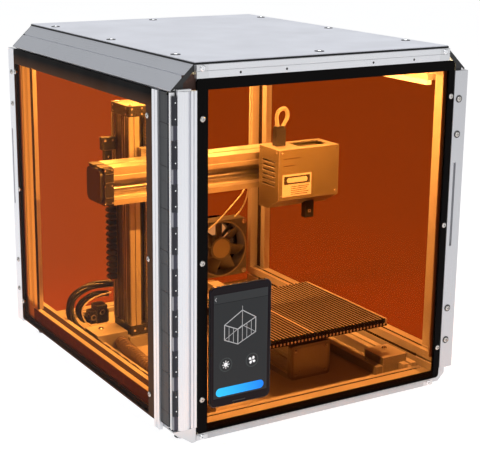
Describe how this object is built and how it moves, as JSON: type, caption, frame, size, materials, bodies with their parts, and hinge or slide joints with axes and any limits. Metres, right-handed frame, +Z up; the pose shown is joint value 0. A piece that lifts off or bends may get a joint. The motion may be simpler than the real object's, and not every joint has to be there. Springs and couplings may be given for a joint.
{
  "type": "desktop laser cutter",
  "caption": "Enclosed desktop laser cutter: hinged amber front and side doors, touchscreen, and inside a lifting column, cross arm with laser head and sliding slatted bed.",
  "frame": {"origin": "centre of the footprint, at the height the feet stand on", "axes": "+Z up, -Y out through the front door, -X out through the left door"},
  "size_m": [0.4196, 0.498, 0.4516],
  "materials": {
    "rail_aluminium": "satin anodised",
    "door_aluminium": "satin anodised, bright",
    "dark_hinge": "satin dark grey",
    "bright_steel": "polished screws and rods",
    "top_sheet": "satin pale grey",
    "case_sheet": "satin floor panel",
    "gasket_rubber": "matt black",
    "amber_acrylic": "clear amber, polished",
    "black_plastic": "satin black",
    "machine_aluminium": "satin anodised module",
    "machine_caps": "dark powder coat",
    "head_paint": "light satin housing",
    "screen_glass": "glossy black cover glass with the display under it",
    "screen_shell": "glossy black",
    "led_white": "diffusing strip",
    "cable_black": "cable jacket",
    "hose_grey": "corrugated",
    "bed_metal": "slatted bed"
  },
  "bodies": {
    "case": {"bottom_rail_left": "rail_aluminium", "bottom_rail_right": "rail_aluminium", "bottom_rail_front": "rail_aluminium", "bottom_rail_rear": "rail_aluminium", "top_rail_left": "rail_aluminium", "top_rail_right": "rail_aluminium", "top_rail_front": "rail_aluminium", "top_rail_rear": "rail_aluminium", "corner_posts": "rail_aluminium", "hinge_post": "rail_aluminium", "corner_blocks": "rail_aluminium", "case_screws": "bright_steel", "floor_panel": "case_sheet", "floor_rails": "rail_aluminium", "feet": "gasket_rubber", "top_panel": "top_sheet", "top_gasket": "gasket_rubber", "right_panel": "amber_acrylic", "rear_panel": "amber_acrylic", "led_strips": "led_white", "fan_frame": "black_plastic", "duct_collar": "black_plastic", "hinge_pins": "bright_steel", "base_frame": "machine_aluminium", "base_brackets": "machine_aluminium", "y_rail": "machine_aluminium", "y_end_caps": "machine_caps", "z_column": "machine_aluminium", "z_end_caps": "machine_caps", "corrugated_hose": "hose_grey", "cable_loop": "cable_black", "thin_wires": "cable_black"},
    "exhaust_fan": {"fan_rotor": "black_plastic"},
    "front_door": {"front_door_panel": "amber_acrylic", "front_door_seal": "gasket_rubber", "front_door_profile": "door_aluminium", "front_door_handle": "door_aluminium", "front_door_screws": "bright_steel", "touchscreen_body": "screen_shell", "touchscreen_glass": "screen_glass", "touchscreen_holder": "black_plastic"},
    "left_door": {"left_door_panel": "amber_acrylic", "left_door_seal": "gasket_rubber", "left_door_profile": "door_aluminium", "left_hinge_leaf": "dark_hinge", "left_door_handle": "door_aluminium", "left_door_screws": "bright_steel"},
    "z_drive": {"z_screw": "bright_steel"},
    "lift": {"z_carriage": "machine_aluminium", "x_arm": "machine_aluminium", "x_end_caps": "machine_caps"},
    "x_drive": {"x_screw": "bright_steel"},
    "head": {"x_carriage": "machine_caps", "laser_housing": "head_paint", "laser_nozzle": "black_plastic", "laser_plug": "black_plastic"},
    "head_fan": {"laser_fan": "black_plastic"},
    "y_drive": {"y_screw": "bright_steel"},
    "bed": {"y_carriage": "machine_caps", "slatted_bed": "bed_metal"}
  },
  "joints": [
    {"name": "front_door_hinge", "type": "hinge", "parent": "case", "child": "front_door", "pos_m": [-0.206, -0.2375, 0.22], "axis": [0, 0, -1], "range_deg": [0, 110]},
    {"name": "left_door_hinge", "type": "hinge", "parent": "case", "child": "left_door", "pos_m": [-0.206, -0.227, 0.22], "axis": [0, 0, 1], "range_deg": [0, 110]},
    {"name": "exhaust_fan_spin", "type": "hinge", "parent": "case", "child": "exhaust_fan", "pos_m": [0.118, 0.222, 0.086], "axis": [0, 1, 0], "continuous": true},
    {"name": "z_slide", "type": "slide", "parent": "case", "child": "lift", "axis": [0, 0, 1], "range_m": [-0.105, 0.035]},
    {"name": "x_slide", "type": "slide", "parent": "lift", "child": "head", "axis": [1, 0, 0], "range_m": [-0.2, 0.006]},
    {"name": "y_slide", "type": "slide", "parent": "case", "child": "bed", "axis": [0, 1, 0], "range_m": [-0.01, 0.16]},
    {"name": "z_screw_spin", "type": "hinge", "parent": "case", "child": "z_drive", "pos_m": [-0.086, 0.068, 0.19], "axis": [0, 0, 1], "range_deg": [-1580, 4730]},
    {"name": "x_screw_spin", "type": "hinge", "parent": "lift", "child": "x_drive", "pos_m": [0, 0.009, 0.25625], "axis": [1, 0, 0], "range_deg": [-275, 9005]},
    {"name": "y_screw_spin", "type": "hinge", "parent": "case", "child": "y_drive", "pos_m": [0.039, 0, 0.0505], "axis": [0, 1, 0], "range_deg": [-7205, 455]},
    {"name": "head_fan_spin", "type": "hinge", "parent": "head", "child": "head_fan", "pos_m": [0.0485, -0.0455, 0.262], "axis": [1, 0, 0], "continuous": true}
  ],
  "couplings": [
    {"joint": "z_screw_spin", "follows": "z_slide", "rad_per_m": -785.4},
    {"joint": "x_screw_spin", "follows": "x_slide", "rad_per_m": -785.4},
    {"joint": "y_screw_spin", "follows": "y_slide", "rad_per_m": -785.4}
  ]
}
